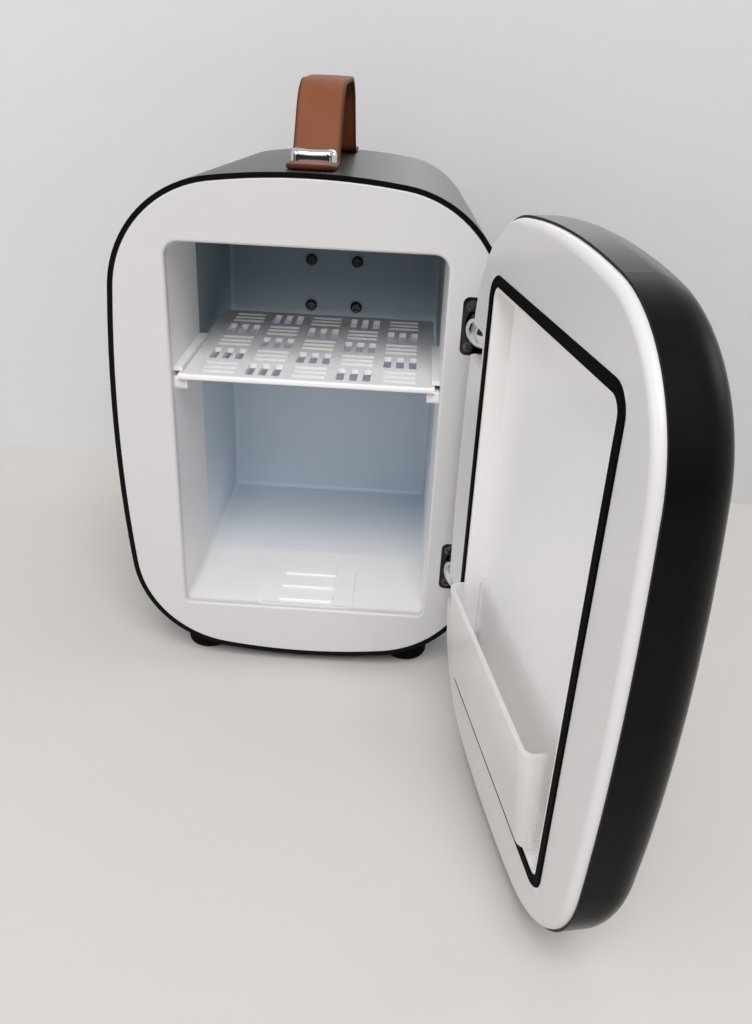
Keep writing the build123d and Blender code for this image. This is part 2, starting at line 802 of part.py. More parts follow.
def rocker_cap():
    """Rocker of the switch, with stub axles in the housing's walls."""
    half = switch_body_height / 2 - switch_wall - 2 * rocker_play
    top = rocker_pivot_depth + rocker_stand
    profile = Polyline(
        (-rocker_body_depth, rocker_draft - half),
        (0, -half),
        (top, -half),
        (top - rocker_dip, 0),
        (top, half),
        (0, half),
        (-rocker_body_depth, half - rocker_draft),
        close=True,
    )
    width = switch_body_width - 2 * switch_wall - 2 * rocker_play
    cap = extrude(Plane.YZ * make_face(profile), amount=width / 2, both=True)
    cap = fillet(cap.edges().filter_by(Axis.X).group_by(Axis.Y)[-1], rocker_play)
    axle_span = width + 2 * rocker_play + 2 * rocker_axle_length
    cap += Rot(0, 90, 0) * Cylinder(rocker_axle_radius, axle_span)
    return Pos(switch_x, rocker_pivot(), socket_z) * cap


# Carrying strap


def strap_path():
    """Middle line of the strap, seen from the side: Y and Z."""
    half = strap_thickness / 2
    leg = strap_leg
    far = strap_leg + 2 * strap_lean + strap_flat()
    points = []
    for distance, lift in (
        (strap_start, 0),
        (leg, 0),
        (leg + strap_lean, strap_rise),
        (far - strap_lean, strap_rise),
        (far, 0),
        (far + strap_leg - strap_start, 0),
    ):
        y = front + distance
        level = body_top - half + lift if lift else body_top - inset_at(y) + half
        points.append((y, level))
    bends = [strap_foot_bend, strap_arch_bend, strap_arch_bend, strap_foot_bend]
    return FilletPolyline(*points, radius=bends)


def handle_strap(form):
    """Leather strap, fixed flat at both ends and arched between them."""
    band = offset(strap_path(), amount=strap_thickness / 2, side=Side.BOTH)
    strap = extrude(Plane.YZ * make_face(band.edges()), amount=strap_width / 2, both=True)
    length = strap.bounding_box().size.Y
    middle = strap.bounding_box().center()
    plan = RectangleRounded(strap_width, length, strap_end_corner)
    strap = strap & (Pos(0, middle.Y, foot_height) * extrude(plan, amount=2 * body_height))
    strap -= form
    for y in clip_places():
        for x in (-clip_screw_pitch / 2, clip_screw_pitch / 2):
            strap -= deck(y) * Pos(x, 0, 0) * Cylinder(clip_screw_radius, 4 * strap_thickness)
    return strap


def handle_clip(y):
    """Chrome clip that clamps the strap on the shell, hollowed a little along its top."""
    clip = extrude(SlotOverall(clip_length, clip_width), amount=clip_height)
    hollow_radius = (clip_length**2 / 4 + clip_dip**2) / (2 * clip_dip)
    hollow = Rot(90, 0, 0) * Cylinder(hollow_radius, 2 * clip_width)
    clip -= Pos(0, 0, clip_height - clip_dip + hollow_radius) * hollow
    clip = fillet(clip.faces().sort_by(Axis.Z)[-1].edges(), clip_round)
    for x in (-clip_screw_pitch / 2, clip_screw_pitch / 2):
        clip -= Pos(x, 0, 0) * Cylinder(clip_screw_radius, 2 * clip_screw_grip)
    return deck(y) * Pos(0, 0, strap_thickness) * clip


def clip_screws():
    """Screws from inside the shell, through the strap, into the clips."""
    length = shell_wall + strap_thickness + clip_screw_grip
    screw = pan_screw(clip_screw_head, clip_screw_head_height, clip_screw_radius, length)
    screws = []
    for y in clip_places():
        for x in (-clip_screw_pitch / 2, clip_screw_pitch / 2):
            screws.append(deck(y) * Pos(x, 0, -shell_wall - fit) * Rot(180, 0, 0) * screw)
    return screws


# Hinges


def hinge_screw_places(z):
    """Centres of one hinge plate's screws, in X and Z."""
    x = plate_x - hinge_screw_offset
    return [(x, z + hinge_screw_pitch / 2), (x, z - hinge_screw_pitch / 2)]


def gooseneck():
    """Bulging hinge arm, from the plate round to the knuckle, with the pin on its own Z axis."""
    root_x = hinge_plate_offset + hinge_plate_width / 2 - arm_root_inset - arm_root_width / 2
    root_y = hinge_forward + hinge_plate_thickness / 2
    half_way = math.sin(math.radians(45))  # in the middle of a quarter of an ellipse
    middle = Vector(-root_x * half_way, root_y * (1 - half_way))
    stations = [
        (Vector(-root_x, root_y), Vector(0, -1), arm_root_width, arm_height),
        (middle, Vector(root_x, -root_y), arm_waist, arm_height),
        (Vector(0, 0), Vector(1, 0), 2 * knuckle_radius, knuckle_height),
    ]
    sections = []
    for place, way, width, height in stations:
        section = Plane(origin=place, x_dir=(0, 0, 1), z_dir=way) * Ellipse(height / 2, width / 2)
        sections.append(section)
    return loft(sections)


def hinge(z):
    """Cabinet half of a hinge: plate set in the face, gooseneck arm and knuckle."""
    plate_sketch = RectangleRounded(hinge_plate_width, hinge_plate_height, hinge_plate_corner)
    plate = slab(plate_sketch, front, front + hinge_plate_thickness, plate_x, z)
    knuckle = Cylinder(knuckle_radius, knuckle_height)
    ends = knuckle.edges().group_by(Axis.Z)
    knuckle = fillet(ends[0] + ends[-1], knuckle_round)
    arm = gooseneck() + knuckle - Cylinder(pin_radius + running_fit, 2 * arm_height)
    part = plate + Pos(axis_x, axis_y, z) * arm
    for x, screw_z in hinge_screw_places(z):
        part -= facing(front, x, screw_z) * countersunk_head()
    return part


def countersunk_head():
    """Countersunk head, flush with its own XY plane."""
    depth = hinge_plate_thickness
    return Pos(0, 0, -depth / 2) * Cone(hinge_screw_radius, hinge_screw_head, depth)


def hinge_screws():
    """Countersunk screws of both hinge plates."""
    length = hinge_screw_length - hinge_plate_thickness
    shank = Pos(0, 0, -hinge_plate_thickness - length / 2) * Cylinder(hinge_screw_radius, length)
    screw = countersunk_head() + shank - cross_recess(hinge_screw_head, hinge_plate_thickness)
    seats = [facing(front, x, sz).location for z in hinge_levels for x, sz in hinge_screw_places(z)]
    return turned_screws(seats, screw)


def notch(z):
    """Room in the door's edge for a hinge arm, over the whole swing."""
    left = axis_x - hinge_plate_offset - hinge_plate_width / 2 + arm_root_inset - notch_play
    low = axis_y - knuckle_radius - notch_play
    return bar(left, body_width, low, front, z - notch_half, z + notch_half)


def pin_boss(z, grow=0.0):
    """Blocks above and below a notch that hold the ends of its pin."""
    half = notch_half + pin_boss_height + grow
    low = axis_y - pin_boss_reach - grow
    high = ahead(door_lip_depth + door_flange_depth + foam_gap)
    return bar(axis_x - pin_boss_reach - grow, body_width, low, high, z - half, z + half)


def hinge_pin(z):
    """Pin of one hinge, held in the door's bosses."""
    return Pos(axis_x, axis_y, z) * Cylinder(pin_radius, 2 * (notch_half + pin_grip))


# Door, modelled closed


def door_form(inset):
    """Solid of the black half of the door, drawn in by inset."""
    block = slab(barrel(inset - door_overhang), ahead(door_depth), ahead(door_lip_depth))
    dome = Pos(0, ahead(door_depth) + door_bow, mid) * Sphere(door_bow - inset)
    block = block & dome
    edges = block.faces().filter_by(GeomType.SPHERE)[0].edges()
    return fillet(edges, door_round - inset)


def door_shell():
    """Black domed shell of the door, notched for the hinges, with bosses for their pins."""
    form = door_form(0)
    shell = form - door_form(shell_wall)
    for z in hinge_levels:
        shell += form & pin_boss(z)
        shell -= notch(z)
        shell -= hinge_pin(z)
    return shell


def recess_rect(grow=0.0):
    """Outline of the door's inner recess, larger by grow on every side."""
    return RectangleRounded(recess_width + 2 * grow, recess_height + 2 * grow, recess_corner + grow)


def gasket_ring(shrink=0.0):
    """Outline of the gasket, narrower by shrink on each side."""
    inner = gasket_land + shrink
    outer = gasket_land + gasket_width - shrink
    return recess_rect(outer) - recess_rect(inner)


def door_liner():
    """White inner half of the door: rounded lip, gasket groove, recess and pocket ribs."""
    back_of_lip = ahead(door_lip_depth)
    panel = door_gap + recess_depth
    lip = slab(barrel(), back_of_lip, ahead(door_gap))
    lip = fillet(lip.faces().sort_by(Axis.Y)[-1].edges(), door_lip_round)
    rim = barrel(rim_inset) - barrel(rim_inner)
    liner = lip + slab(rim, ahead(door_lip_depth + door_flange_depth), back_of_lip)
    liner += slab(recess_rect(recess_wall), ahead(panel + recess_wall), back_of_lip, z=opening_z)
    liner -= slab(recess_rect(), ahead(panel), ahead(door_gap), z=opening_z)
    liner -= slab(gasket_ring(), ahead(door_gap + gasket_groove_depth), ahead(door_gap), z=opening_z)
    for z in hinge_levels:
        liner -= notch(z)
    ear_front = panel - slip / 2 - pocket_wall - slip
    wall = recess_width / 2
    for side in (-1, 1):
        rib = bar(
            wall - ear_rib_reach, wall + fit, ahead(ear_front), ahead(ear_front - ear_rib_thickness),
            pocket_floor - ear_stop_height, pocket_floor + ear_rib_length,
        )
        stop = bar(
            wall - ear_rib_reach, wall + fit, ahead(panel + fit), ahead(ear_front - ear_rib_thickness),
            pocket_floor - ear_stop_height, pocket_floor,
        )
        for piece in (rib, stop):
            liner += piece if side > 0 else mirror(piece, Plane.YZ)
    return liner


def door_gasket():
    """Soft black seal set in the liner's groove."""
    floor = ahead(door_gap + gasket_groove_depth)
    seal = slab(gasket_ring(fit), floor, ahead(door_gap - gasket_stand), z=opening_z)
    return fillet(seal.faces().sort_by(Axis.Y)[-1].edges(), gasket_edge_round)


def magnet_block(z, grow=0.0):
    """Magnet behind the gasket on the door's free side."""
    right = -(recess_width / 2 + recess_wall + slip)
    half = magnet_length / 2
    top = ahead(door_lip_depth)
    low = top - magnet_thickness - grow
    return bar(right - magnet_width - grow, right + grow, low, top, z - half - grow, z + half + grow)


def door_insulation():
    """Foam core of the door."""
    rim_end = ahead(door_lip_depth + door_flange_depth + foam_gap)
    core = door_form(shell_wall + foam_gap)
    head = barrel(-door_overhang) - barrel(rim_inner + foam_gap)
    core -= slab(head, rim_end, ahead(door_lip_depth))
    core -= slab(barrel(-door_overhang), ahead(door_lip_depth + foam_gap), ahead(door_lip_depth))
    panel_back = ahead(door_gap + recess_depth + recess_wall + foam_gap)
    core -= slab(recess_rect(recess_wall + foam_gap), panel_back, ahead(door_lip_depth), z=opening_z)
    for z in hinge_levels:
        core -= notch(z)
        core -= pin_boss(z, foam_gap)
    for z in magnet_levels:
        core -= magnet_block(z, foam_gap)
    return core


def door_pocket():
    """Clear pocket that hangs between the ribs of the door's recess."""
    back_wall = door_gap + recess_depth - slip / 2
    z_low = pocket_floor
    z_top = pocket_floor + pocket_height

    def side_view(shrink, lift, over):
        reach = pocket_reach - shrink
        tip = reach - pocket_draft
        rear = back_wall - shrink
        outline = Polyline(
            (ahead(rear), z_low + lift),
            (ahead(-tip), z_low + lift),
            (ahead(-reach), z_top + over),
            (ahead(rear), z_top + over),
            close=True,
        )
        return make_face(outline)

    def upright_edges(solid):
        edges = solid.faces().sort_by(Axis.Y)[-1].edges().sort_by(Axis.X)
        return [edges[0], edges[-1]]

    block = extrude(Plane.YZ * side_view(0, 0, 0), amount=pocket_width / 2, both=True)
    block = fillet(upright_edges(block), pocket_corner)
    inner = Plane.YZ * side_view(pocket_wall, pocket_wall, pocket_wall)
    hollow = extrude(inner, amount=pocket_width / 2 - pocket_wall, both=True)
    hollow = fillet(upright_edges(hollow), pocket_corner - pocket_wall)
    ear_end = recess_width / 2 - pocket_ear_gap
    ears = bar(-ear_end, ear_end, ahead(back_wall), ahead(back_wall - pocket_wall), z_low, z_top)
    return block + ears - hollow


def shelf():
    """Shelf with a front lip and a basket-weave pattern of slots."""
    y_front = front + shelf_setback
    y_back = y_front + shelf_depth
    half = shelf_width / 2
    board = bar(-half, half, y_front, y_back, plate_under, shelf_top)
    board += bar(-half, half, y_front, y_front + shelf_lip_thickness, shelf_bottom, shelf_top)
    board = fillet(board.edges().filter_by(Axis.Z).group_by(Axis.Y)[-1], shelf_corner)
    board = fillet(board.edges().filter_by(Axis.X).group_by(Axis.Y)[0], shelf_edge_round)
    first = y_front + slot_front_margin + slot_length / 2
    cuts = []
    for row in range(slot_cells):
        for column in range(slot_cells):
            x = (column - (slot_cells - 1) / 2) * slot_cell_pitch
            y = first + (slot_cells - 1 - row) * slot_cell_pitch
            lengthways = (row + column) % 2 == 0
            for k in (-1, 0, 1):
                shift = k * slot_pitch
                if lengthways:
                    place, size = (x, y + shift), (slot_length, slot_width)
                else:
                    place, size = (x + shift, y), (slot_width, slot_length)
                cuts.append(Pos(*place) * RectangleRounded(*size, slot_corner))
    holes = extrude(Pos(0, 0, plate_under) * Sketch(children=cuts), amount=shelf_thickness, dir=(0, 0, 1))
    return board - holes


def swung(part):
    """A door piece, turned open about the hinge axis."""
    return part.rotate(Axis((axis_x, axis_y, 0), (0, 0, 1)), open_angle)


def build():
    """Every piece by name, at rest."""
    form = cabinet_form()
    pieces = {
        "outer_shell": outer_shell(form),
        "front_frame": front_frame(),
        "inner_liner": inner_liner(),
        "cabinet_insulation": cabinet_insulation(),
        "rear_cover": rear_cover(),
        "rear_cover_screws": cover_screws(),
        "cold_block": cold_block(),
        "cold_block_screws": cold_screws(),
        "peltier_module": peltier_module(),
        "heat_sink": heat_sink(),
        "fan_frame": fan_frame(),
        "fan_rotor": fan_rotor(),
        "fan_screws": fan_screws(),
        "power_board": power_board(),
        "transformer": transformer(),
        "capacitors": capacitors(),
        "mains_inlet": mains_inlet(),
        "mains_inlet_pins": mains_pins(),
        "low_voltage_jack": low_voltage_jack(),
        "low_voltage_pin": jack_pin(),
        "switch_housing": switch_housing(),
        "switch_rocker": rocker_cap(),
        "handle_strap": handle_strap(form),
        "handle_clip_screws": clip_screws(),
        "hinge_plate_screws": hinge_screws(),
        "shelf": shelf(),
    }
    for name, y in zip(("front", "rear"), clip_places()):
        pieces[f"handle_clip_{name}"] = handle_clip(y)
    foot_rows = {"front": front + foot_front_setback, "rear": back - foot_rear_setback}
    for row, y in foot_rows.items():
        for side, x in (("left", -foot_spread / 2), ("right", foot_spread / 2)):
            pieces[f"foot_{row}_{side}"] = foot(x, y, form)
    door = {
        "door_shell": door_shell(),
        "door_liner": door_liner(),
        "door_gasket": door_gasket(),
        "door_insulation": door_insulation(),
        "door_pocket": door_pocket(),
    }
    for level, z in zip(("upper", "lower"), hinge_levels):
        pieces[f"hinge_{level}"] = hinge(z)
        door[f"hinge_pin_{level}"] = hinge_pin(z)
    for level, z in zip(("upper", "lower"), magnet_levels):
        pieces[f"keeper_{level}"] = keeper_block(z)
        door[f"door_magnet_{level}"] = magnet_block(z)
    for name, part in door.items():
        pieces[name] = swung(part)
    return pieces


os.makedirs("parts", exist_ok=True)
for name, piece in build().items():
    solids = piece if isinstance(piece, list) else [piece]
    export_step(Compound(children=solids) if len(solids) > 1 else solids[0], f"parts/{name}.step")
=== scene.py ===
"""Looks of the mini fridge: finishes for its CAD pieces and a leather strap."""

import json
import math

import bmesh
import bpy
from mathutils import Matrix, Vector


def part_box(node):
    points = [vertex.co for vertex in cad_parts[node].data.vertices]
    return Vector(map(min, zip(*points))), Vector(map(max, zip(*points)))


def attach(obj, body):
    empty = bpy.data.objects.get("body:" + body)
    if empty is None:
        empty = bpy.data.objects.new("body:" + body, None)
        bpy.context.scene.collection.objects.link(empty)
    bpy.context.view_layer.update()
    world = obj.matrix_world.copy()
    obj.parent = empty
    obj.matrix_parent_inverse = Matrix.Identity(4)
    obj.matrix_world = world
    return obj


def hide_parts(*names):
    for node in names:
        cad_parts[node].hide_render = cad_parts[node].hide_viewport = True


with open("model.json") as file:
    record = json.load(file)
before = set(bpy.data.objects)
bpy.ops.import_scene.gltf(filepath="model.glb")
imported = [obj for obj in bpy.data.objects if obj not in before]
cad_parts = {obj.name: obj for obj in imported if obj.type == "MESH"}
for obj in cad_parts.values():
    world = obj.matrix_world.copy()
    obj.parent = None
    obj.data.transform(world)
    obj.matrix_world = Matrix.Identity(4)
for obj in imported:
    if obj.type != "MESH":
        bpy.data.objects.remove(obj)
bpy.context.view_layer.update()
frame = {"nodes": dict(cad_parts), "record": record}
nodes = frame["nodes"]

MM = 0.001

UP = Vector((0.0, 0.0, 1.0))

# Camera, with its turns in degrees
CAMERA_PLACE = Vector((48.8, -506.2, 315.1)) * MM
CAMERA_HEADING = -1.68
CAMERA_DOWN = 27.87
CAMERA_ROLL = 2.75
CAMERA_NEAREST = 10.0 * MM  # nothing nearer than this is rendered
FOCAL_PIXELS = 904.7  # focal length, in pixels of the image
IMAGE_HEIGHT = 1024

# Cabinet sizes that the strap lies on, as the CAD has them
BODY_FRONT = -97.5 * MM
BODY_DEPTH = 195.0 * MM
BODY_TOP = 261.0 * MM
REAR_SHRINK = 9.5 * MM

# The way that the door's inside looks, and the way from its hinges to its free edge, with the door
# open as in the CAD
DOOR_OPEN = math.radians(102.0)
DOOR_INWARD = Vector((-math.sin(DOOR_OPEN), math.cos(DOOR_OPEN), 0.0))
DOOR_ALONG = Vector((-math.cos(DOOR_OPEN), -math.sin(DOOR_OPEN), 0.0))

# Strap
STRAP_WIDTH = 22.4 * MM
STRAP_THICKNESS = 2.6 * MM
STRAP_START = 11.0 * MM
STRAP_LEG = 38.0 * MM
STRAP_LEAN = 22.0 * MM
STRAP_RISE = 34.0 * MM
STRAP_FOOT_BEND = 8.0 * MM
STRAP_ARCH_BEND = 26.0 * MM
STRAP_END_CORNER = 6.0 * MM
STRAP_CROWN = 0.25 * MM  # fullness of the leather across its middle
STRAP_EDGE = 0.8 * MM  # rounding of its edges
STRAP_BURNISH = 2.2 * MM  # width of the darker band along its edges
STRAP_ROWS = 170
STRAP_COLUMNS = 12
STRAP_BEND_STEPS = 14
STRAP_EDGE_STEPS = 3
STRAP_RIM_ANGLE = math.radians(50.0)  # edges sharper than this are rounded

# Where the finishes, with their painted light and shade, change on their pieces
FACE_SHADED_TO = 2.0 * MM  # painted shade greys the cabinet's white face to this depth
FACE_UNSHADED_FROM = 6.0 * MM  # and it is clean white from this depth on
LIP_SHADE_FADE = 3.0 * MM  # painted shade greys the door's lip, fading in over this width inside the gasket's outline
LIP_SHADE = 0.8  # as far towards the painted-shade grey as this
FLOOR_LIGHT_RISE = 60.0 * MM  # painted light on the cavity's floor fades into the blue over this height above it
SHELF_SHADE_FROM = 14.0 * MM  # painted shade darkens the cavity's walls from this far under the shelf
SHELF_SHADE_TO = 2.0 * MM  # to this far under its top
PLATE_FROM = (-1.6 * MM, -0.2 * MM)  # depths behind the face where the painted dark reflection on the hinge plates begins
PLATE_TO = (2.0 * MM, 3.0 * MM)  # and where it ends
POCKET_CLEAR = 10.0 * MM  # the pocket is nearly clear from this far behind its front
POCKET_MILKY = 6.0 * MM  # and milky up to this far behind it
POCKET_RIM_FADE = 20.0 * MM  # it turns clearer over this height under its rim

# Floor and backdrop, in metres
FLOOR_REACH = 8.0  # half the floor's width
FLOOR_NEAR = 0.9  # where the floor begins to fade into the backdrop
FLOOR_FAR = 2.4  # where it has gone
BACKDROP = {"Color": (0.992, 0.99, 0.985, 1.0), "Strength": 0.62}

# Light that comes from all around, and the tints of the lamps
SURROUNDINGS = {"Color": (0.985, 0.992, 1.0, 1.0), "Strength": 0.28}
KEY_WHITE = (1.0, 0.985, 0.98)
FILL_WHITE = (1.0, 0.99, 0.985)
REAR_WHITE = (0.98, 0.99, 1.0)
SIDE_WHITE = (0.99, 0.995, 1.0)

# Wall behind the fridge
WALL_DISTANCE = 155.0 * MM  # from the frame's origin
WALL_TURN = -2.5  # degrees
WALL_WIDTH = 5.0
WALL_HEIGHT = 3.0


class Field:
    """A socket of a node graph, with arithmetic on its values."""

    def __init__(self, graph, socket):
        self.graph = graph
        self.socket = socket

    def _math(self, operation, first, second=0.0):
        return self.graph.node("ShaderNodeMath", {"operation": operation}, {0: first, 1: second})

    def __add__(self, other):
        return self._math("ADD", self, other)

    def __radd__(self, other):
        return self._math("ADD", other, self)

    def __sub__(self, other):
        return self._math("SUBTRACT", self, other)

    def __mul__(self, other):
        return self._math("MULTIPLY", self, other)

    def __abs__(self):
        return self._math("ABSOLUTE", self)

    def larger(self, other):
        return self._math("MAXIMUM", self, other)


class Graph:
    """A tree of shader nodes."""

    def __init__(self, tree):
        self.tree = tree

    def node(self, kind, settings=None, inputs=None, output=0):
        """Any node: its settings first, then the values or links of its sockets."""
        made = self.tree.nodes.new(kind)
        for label, value in (settings or {}).items():
            setattr(made, label, value)
        for label, value in (inputs or {}).items():
            if isinstance(value, Field):
                self.tree.links.new(value.socket, made.inputs[label])
            else:
                made.inputs[label].default_value = value
        return Field(self, made.outputs[output])

    def ranged(self, value, low, high, to_low=0.0, to_high=1.0):
        """A value brought from one range to another, and held at its ends."""
        sockets = {"Value": value, "From Min": low, "From Max": high, "To Min": to_low, "To Max": to_high}
        return self.node("ShaderNodeMapRange", {"interpolation_type": "SMOOTHSTEP"}, sockets)


class Finish(Graph):
    """A material under construction, round one Principled shader."""

    # Sockets of a Mix node that mixes colours
    MIX_FACTOR, MIX_FIRST, MIX_SECOND, MIX_RESULT = 0, 6, 7, 2

    def __init__(self, name, **uniform):
        self.material = bpy.data.materials.new(name)
        self.material.use_nodes = True
        super().__init__(self.material.node_tree)
        self.shader = self.tree.nodes["Principled BSDF"]
        for label, value in uniform.items():
            words = label.replace("_", " ").title().replace("Ior", "IOR")
            self.shader.inputs[words].default_value = value
        self.place = self.node("ShaderNodeTexCoord", output="Object")

    def noise(self, scale, detail=2.0, roughness=0.5, stretch=None):
        """Cloudy pattern, about 1/scale metres across, or drawn out where stretch scales the axes."""
        place = self.place
        if stretch:
            place = self.node("ShaderNodeMapping", None, {"Vector": place, "Scale": stretch})
        sockets = {"Vector": place, "Scale": scale, "Detail": detail, "Roughness": roughness}
        return self.node("ShaderNodeTexNoise", None, sockets, "Fac")

    def cells(self, scale):
        """Cell pattern, about 1/scale metres across."""
        return self.node("ShaderNodeTexVoronoi", None, {"Vector": self.place, "Scale": scale}, "Distance")

    def along(self, axis):
        """One coordinate of the place on the surface, in metres."""
        return self.node("ShaderNodeSeparateXYZ", None, {0: self.place}, axis)

    def towards(self, way):
        """How far the place lies along a direction, in metres."""
        sockets = {0: self.place, 1: way}
        return self.node("ShaderNodeVectorMath", {"operation": "DOT_PRODUCT"}, sockets, "Value")

    def blend(self, first, second, share):
        """Colour between two colours."""
        sockets = {self.MIX_FACTOR: share}
        for label, value in ((self.MIX_FIRST, first), (self.MIX_SECOND, second)):
            sockets[label] = value if isinstance(value, Field) else (*value, 1.0)
        return self.node("ShaderNodeMix", {"data_type": "RGBA"}, sockets, self.MIX_RESULT)

    def feed(self, label, value):
        """Gives one of the shader's sockets a changing value."""
        self.tree.links.new(value.socket, self.shader.inputs[label])

    def mix_in(self, shader, share):
        """Puts another shader in place of a share of the Principled shader."""
        shaders = {0: share, 1: Field(self, self.shader.outputs[0]), 2: shader}
        mixed = self.node("ShaderNodeMixShader", None, shaders)
        self.tree.links.new(mixed.socket, self.tree.nodes["Material Output"].inputs["Surface"])

    def bump(self, height, depth):
        """Raised detail, depth metres high."""
        sockets = {"Height": height, "Distance": depth}
        self.feed("Normal", self.node("ShaderNodeBump", None, sockets, "Normal"))


def reach(node, way):
    """How near and how far a CAD piece lies along a direction."""
    places = [vert.co.dot(way) for vert in nodes[node].data.vertices]
    return min(places), max(places)


# Finishes


def satin_black():
    """Fine-grained black moulding of the cabinet's and the door's shells."""
    f = Finish("satin_black", specular_ior_level=0.07, coat_roughness=0.28)
    cloud = f.noise(9.0, 4.0)
    grain = f.noise(2600.0)
    grazing = f.node("ShaderNodeLayerWeight", None, {"Blend": 0.5}, "Facing")
    f.feed("Base Color", f.blend((0.0028, 0.0029, 0.0034), (0.005, 0.0051, 0.0057), cloud))
    f.feed("Roughness", 0.3 + cloud * 0.06 + grain * 0.06)
    f.feed("Coat Weight", f.ranged(grazing, 0.65, 1.0, 0.0, 0.6))
    f.bump(grain, 0.05 * MM)
    return f.material


def satin_white(name, painted_shade_share):
    """White moulding with a faint orange peel, greyed with painted shade by the share that its second
    argument works out.
    """
    f = Finish(name, specular_ior_level=0.45)
    cloud = f.noise(6.0, 3.0)
    peel = f.noise(420.0)
    clean = f.blend((0.84, 0.83, 0.83), (0.87, 0.86, 0.86), cloud)
    # painted shade: a greyer copy of the same white, mixed in where light is to look weaker
    shaded_white = f.blend((0.61, 0.6, 0.605), (0.64, 0.63, 0.635), cloud)
    f.feed("Base Color", f.blend(clean, shaded_white, painted_shade_share(f)))
    f.feed("Roughness", 0.24 + cloud * 0.08 + peel * 0.04)
    f.bump(peel, 0.01 * MM)
    return f.material


def face_painted_shade(f):
    """Share of painted shade, greying the white, on the cabinet's flat front."""
    return f.ranged(abs(f.along("Y") - BODY_FRONT), FACE_SHADED_TO, FACE_UNSHADED_FROM, 1.0, 0.0)


def lip_painted_shade(f):
    """Share of painted shade, dimming the light on the door's lip, which lies outside the gasket."""
    beyond = []
    for way in (DOOR_ALONG, UP):
        near, far = reach("door_gasket", way)
        half = (far - near) / 2
        from_middle = abs(f.towards(way) - (near + far) / 2)
        beyond.append(f.ranged(from_middle, half - LIP_SHADE_FADE, half, 0.0, LIP_SHADE))
    return beyond[0].larger(beyond[1])


def cavity_metal():
    """Satin anodised sheet of the cavity: bluer inwards and upwards from a pale floor at the front, which
    is painted light, and darker above the shelf, which is painted shade.
    """
    f = Finish("cavity_metal", metallic=0.15)
    lines = f.noise(1.0, 3.0, 0.6, stretch=(700.0, 9.0, 700.0))
    cloud = f.noise(16.0, 3.0)
    low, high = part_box("inner_liner")
    shelf_low, shelf_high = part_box("shelf")
    deep = f.ranged(f.along("Y"), low.y, high.y)
    raised = f.ranged(f.along("Z"), low.z, low.z + FLOOR_LIGHT_RISE)
    shade_above_shelf = f.ranged(f.along("Z"), shelf_low.z - SHELF_SHADE_FROM, shelf_high.z - SHELF_SHADE_TO)
    drawn = cloud * 0.6 + lines * 0.4
    # painted light: pale where light falls on the floor near the front
    floor_light_pale = f.blend((0.85, 0.87, 0.895), (0.89, 0.91, 0.935), drawn)
    blue = f.blend((0.62, 0.695, 0.79), (0.67, 0.745, 0.84), drawn)
    # painted shade: darker above the shelf, where little light reaches
    shelf_shade_dim = f.blend((0.23, 0.285, 0.325), (0.28, 0.335, 0.375), drawn)
    f.feed("Base Color", f.blend(f.blend(floor_light_pale, blue, deep.larger(raised)), shelf_shade_dim, shade_above_shelf))
    f.feed("Roughness", 0.42 + lines * 0.1 + cloud * 0.08)
    f.bump(lines, 0.02 * MM)
    return f.material


def chrome_plate():
    """Polished plating with faint smudges, and a painted dark reflection on the hinge plates set in the
    face.
    """
    f = Finish("chrome_plate", metallic=1.0)
    smudge = f.noise(160.0, 4.0)
    bright = f.blend((0.66, 0.67, 0.69), (0.76, 0.77, 0.79), smudge)
    depth = f.along("Y") - BODY_FRONT
    plate_dark_reflection = f.ranged(depth, *PLATE_FROM) - f.ranged(depth, *PLATE_TO)
    # painted reflection: the hinge plates' chrome darkened as if it mirrored dark surroundings
    f.feed("Base Color", f.blend(bright, (0.035, 0.036, 0.04), plate_dark_reflection))
    f.feed("Roughness", 0.03 + smudge * 0.07)
    return f.material


def rolled_steel(name, dark, light, rough):
    """Turned or rolled steel."""
    f = Finish(name, metallic=1.0)
    scuff = f.noise(900.0, 3.0)
    f.feed("Base Color", f.blend(dark, light, scuff))
    f.feed("Roughness", rough + scuff * 0.15)
    f.bump(scuff, 0.02 * MM)
    return f.material


def soft_rubber(name, dark, light, rough):
    """Matte rubber with a dusty bloom."""
    f = Finish(name, specular_ior_level=0.02)
    bloom = f.noise(120.0, 4.0)
    f.feed("Base Color", f.blend(dark, light, bloom))
    f.feed("Roughness", rough + bloom * 0.15)
    f.bump(f.noise(3200.0), 0.05 * MM)
    return f.material


def strap_leather():
    """Smooth brown leather: fine pores, cloudy dye and burnished edges."""
    f = Finish("strap_leather", specular_ior_level=0.18)
    dye = f.noise(70.0, 5.0, 0.6)
    pores = f.cells(1500.0)
    crease = f.noise(420.0, 4.0, 0.6, stretch=(1.0, 0.35, 0.35))
    inside = f.node("ShaderNodeAttribute", {"attribute_name": "from_edge"}, None, "Fac")
    edge = f.ranged(inside, STRAP_BURNISH, 0.0)
    body = f.blend((0.17, 0.05, 0.02), (0.235, 0.08, 0.034), dye)
    f.feed("Base Color", f.blend(body, (0.05, 0.016, 0.008), edge * 0.9))
    f.feed("Roughness", 0.46 + dye * 0.16)
    f.bump(pores * 0.5 + crease * 0.8, 0.12 * MM)
    return f.material


def shelf_plastic():
    """Milky, glossy shelf plastic."""
    f = Finish("shelf_plastic", specular_ior_level=0.55)
    cloud = f.noise(25.0, 3.0)
    f.feed("Base Color", f.blend((0.8, 0.8, 0.81), (0.85, 0.85, 0.855), cloud))
    f.feed("Roughness", 0.14 + cloud * 0.1)
    f.bump(f.noise(600.0), 0.03 * MM)
    return f.material


